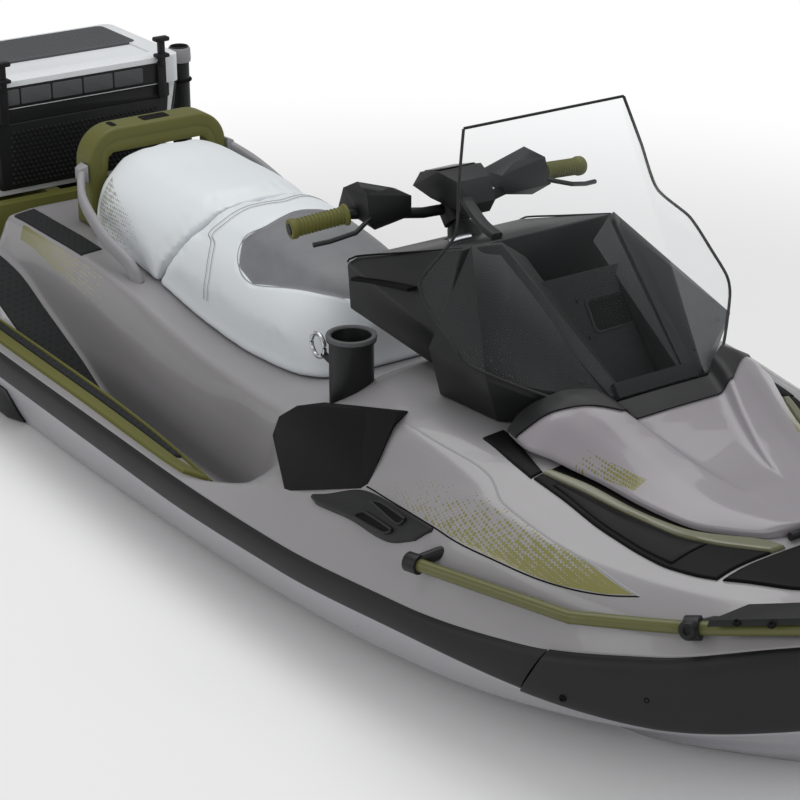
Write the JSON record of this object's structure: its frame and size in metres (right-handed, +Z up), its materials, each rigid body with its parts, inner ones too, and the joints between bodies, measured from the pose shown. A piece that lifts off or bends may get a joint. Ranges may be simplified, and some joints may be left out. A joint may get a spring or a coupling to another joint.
{
  "type": "personal watercraft for fishing",
  "caption": "Jet-driven sit-on watercraft with V hull, stepped seat, handlebar, windshield, front bin under a hood, and a rear rack with a cooler.",
  "frame": {"origin": "amidships on the centreline, at the waterline of the empty craft", "axes": "+X to the bow, +Y to port, +Z up"},
  "size_m": [3.8433, 1.2646, 1.3302],
  "materials": {
    "gelcoat_grey": "satin",
    "hull_grey": "satin",
    "black_plastic": "matte",
    "black_rubber": "matte",
    "olive_plastic": "satin",
    "olive_metal": "satin",
    "clear_sheet": "gloss",
    "olive_rubber": "matte",
    "seat_vinyl": "matte",
    "strap_grey": "matte",
    "mat_foam": "matte",
    "cooler_white": "satin",
    "cast_alloy": "satin",
    "steel": "satin"
  },
  "bodies": {
    "hull": {"hull_shell": "hull_grey", "deck": "gelcoat_grey", "bumper": "black_rubber", "bow_bumper": "black_rubber", "bow_rails": "olive_metal", "rail_fittings": "black_plastic", "lamp_pods": "black_plastic", "lamp_trims": "olive_plastic", "cowl": "black_plastic", "windshield": "clear_sheet", "dash_box": "black_plastic", "column": "black_plastic", "seat_front": "seat_vinyl", "seat_rear": "seat_vinyl", "grab_arch": "olive_plastic", "grab_straps": "strap_grey", "foot_mats": "mat_foam", "footrests": "olive_rubber", "rear_mats": "mat_foam", "platform": "black_plastic", "rack": "olive_plastic", "cooler_body": "cooler_white", "cooler_panel": "black_plastic", "rod_holders": "black_plastic", "leg_deflectors": "black_plastic", "cup_holders": "black_plastic", "side_vents": "black_plastic", "sponsons": "black_plastic", "ride_plate": "black_plastic", "pump": "cast_alloy", "intake_grate": "steel", "engine": "cast_alloy", "tow_eyes": "steel"},
    "steering": {"handlebar": "black_plastic", "grips": "olive_rubber", "control_pods": "black_plastic", "levers": "black_plastic", "gauge_pod": "black_plastic"},
    "nozzle": {"nozzle": "black_plastic"},
    "bucket": {"bucket": "black_plastic"},
    "impeller": {"impeller": "steel"},
    "hood": {"hood": "gelcoat_grey"},
    "cooler_lid": {"cooler_lid": "cooler_white", "cooler_latches": "black_rubber"},
    "boarding_step": {"boarding_step": "black_plastic"}
  },
  "joints": [
    {"name": "steer", "type": "hinge", "parent": "hull", "child": "steering", "pos_m": [0.3, 0, 0.762], "axis": [-0.6428, 0, 0.766], "range_deg": [-20, 20]},
    {"name": "nozzle_swing", "type": "hinge", "parent": "hull", "child": "nozzle", "pos_m": [-1.652, 0, -0.095], "axis": [0, 0, 1], "range_deg": [-18, 18]},
    {"name": "bucket_tilt", "type": "hinge", "parent": "hull", "child": "bucket", "pos_m": [-1.652, 0, -0.095], "axis": [0, -1, 0], "range_deg": [0, 70]},
    {"name": "impeller_spin", "type": "hinge", "parent": "hull", "child": "impeller", "pos_m": [-1.45, 0, -0.095], "axis": [1, 0, 0], "continuous": true},
    {"name": "hood_lift", "type": "hinge", "parent": "hull", "child": "hood", "pos_m": [1.43783, 0, 0.48505], "axis": [0, 1, 0], "range_deg": [0, 70]},
    {"name": "lid_lift", "type": "hinge", "parent": "hull", "child": "cooler_lid", "pos_m": [-1.951, 0, 0.63075], "axis": [0, -1, 0], "range_deg": [0, 100]},
    {"name": "step_fold", "type": "hinge", "parent": "hull", "child": "boarding_step", "pos_m": [-1.875, 0.305, 0.17], "axis": [0, 1, 0], "range_deg": [0, 95]}
  ],
  "couplings": [
    {"joint": "nozzle_swing", "follows": "steer", "ratio": -0.9}
  ]
}
